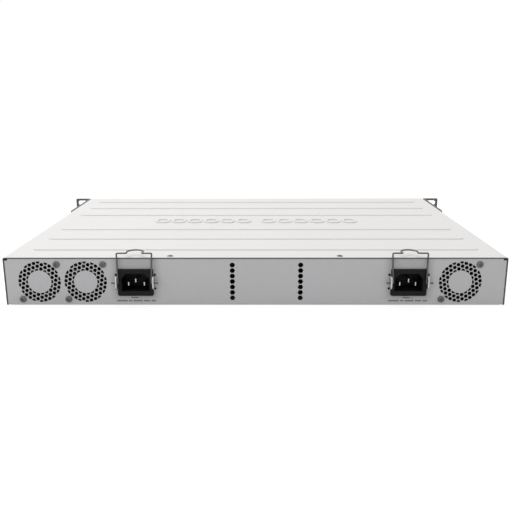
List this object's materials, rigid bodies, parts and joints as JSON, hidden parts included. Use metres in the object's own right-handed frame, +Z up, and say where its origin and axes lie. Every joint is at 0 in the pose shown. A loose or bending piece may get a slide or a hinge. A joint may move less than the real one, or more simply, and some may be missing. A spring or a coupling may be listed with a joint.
{
  "type": "rackmount network switch",
  "caption": "One-unit rackmount network switch with rear fans, two mains inlets with wire cord bails, copper and optical ports, and rack ears.",
  "frame": {"origin": "centre of the case's underside", "axes": "+X to the right seen from the port side, +Y towards the rear panel with fans and inlets, +Z up"},
  "size_m": [0.4826, 0.3034, 0.0485],
  "materials": {
    "white_cover": "fine powder coat, matt",
    "grey_panel": "zinc-grey coated sheet, matt",
    "front_finish": "fine powder coat, matt",
    "ear_finish": "grey powder coat",
    "zinc_screw": "zinc plated",
    "bracket_steel": "zinc plated sheet",
    "wire_steel": "drawn spring wire",
    "inlet_black": "moulded, fine texture",
    "nickel": "nickel plated",
    "fan_black": "moulded",
    "copper_winding": "enamelled winding",
    "lead_jacket": "sleeved leads",
    "board_green": "solder mask",
    "brass_standoff": "turned",
    "chip_black": "moulded package",
    "heatsink_alu": "extruded",
    "header_white": "moulded nylon",
    "jack_plastic": "moulded",
    "tin_shield": "tin plated sheet",
    "gold_contact": "gold flash",
    "button_plastic": "moulded",
    "light_pipe": "clear moulded",
    "transformer_tape": "wound tape",
    "capacitor_sleeve": "shrink sleeve"
  },
  "bodies": {
    "case": {"ac_inlet_1": "inlet_black", "ac_inlet_2": "inlet_black", "ac_leads": "lead_jacket", "bail_bracket_1": "bracket_steel", "bail_bracket_2": "bracket_steel", "board_chips": "chip_black", "board_headers": "header_white", "board_screws": "zinc_screw", "board_standoffs": "brass_standoff", "bottom_tray": "grey_panel", "cover_brackets": "bracket_steel", "cover_screws": "zinc_screw", "cpu_heatsink": "heatsink_alu", "dc_harnesses": "lead_jacket", "ear_screws": "zinc_screw", "fan_frame_1": "fan_black", "fan_frame_2": "fan_black", "fan_frame_3": "fan_black", "fan_leads": "lead_jacket", "fan_screws": "zinc_screw", "fan_stator_1": "copper_winding", "fan_stator_2": "copper_winding", "fan_stator_3": "copper_winding", "front_panel": "front_finish", "inlet_blades_1": "nickel", "inlet_blades_2": "nickel", "led_light_pipes": "light_pipe", "main_board": "board_green", "press_nuts": "zinc_screw", "psu_board_1": "board_green", "psu_board_2": "board_green", "psu_capacitors_1": "capacitor_sleeve", "psu_capacitors_2": "capacitor_sleeve", "psu_chokes": "copper_winding", "psu_heatsinks_1": "heatsink_alu", "psu_heatsinks_2": "heatsink_alu", "psu_transformer_1": "transformer_tape", "psu_transformer_2": "transformer_tape", "rack_ear_left": "ear_finish", "rack_ear_right": "ear_finish", "rear_panel": "grey_panel", "reset_switch": "chip_black", "rj45_contacts_1": "gold_contact", "rj45_contacts_2": "gold_contact", "rj45_housing_1": "jack_plastic", "rj45_housing_2": "jack_plastic", "rj45_shield_1": "tin_shield", "rj45_shield_2": "tin_shield", "sfp_cage": "tin_shield", "sfp_connectors": "chip_black", "switch_chip": "chip_black", "switch_heatsink": "heatsink_alu", "top_cover": "white_cover", "usb_console_port": "nickel"},
    "bail_1": {"cord_bail_1": "wire_steel"},
    "bail_2": {"cord_bail_2": "wire_steel"},
    "rotor_1": {"fan_rotor_1": "fan_black"},
    "rotor_2": {"fan_rotor_2": "fan_black"},
    "rotor_3": {"fan_rotor_3": "fan_black"},
    "reset": {"reset_button": "button_plastic"}
  },
  "joints": [
    {"name": "bail_1_hinge", "type": "hinge", "parent": "case", "child": "bail_1", "pos_m": [0.1055, 0.1526, 0.0215], "axis": [-1, 0, 0], "range_deg": [0, 135]},
    {"name": "bail_2_hinge", "type": "hinge", "parent": "case", "child": "bail_2", "pos_m": [-0.1356, 0.1526, 0.0215], "axis": [-1, 0, 0], "range_deg": [0, 135]},
    {"name": "fan_1_spin", "type": "hinge", "parent": "case", "child": "rotor_1", "pos_m": [0.1905, 0.136, 0.0213], "axis": [0, 1, 0], "continuous": true},
    {"name": "fan_2_spin", "type": "hinge", "parent": "case", "child": "rotor_2", "pos_m": [0.1497, 0.136, 0.0213], "axis": [0, 1, 0], "continuous": true},
    {"name": "fan_3_spin", "type": "hinge", "parent": "case", "child": "rotor_3", "pos_m": [-0.181, 0.136, 0.0213], "axis": [0, 1, 0], "continuous": true},
    {"name": "reset_press", "type": "slide", "parent": "case", "child": "reset", "axis": [0, 1, 0], "range_m": [0, 0.0006], "stiffness_N_per_m": 1500}
  ]
}
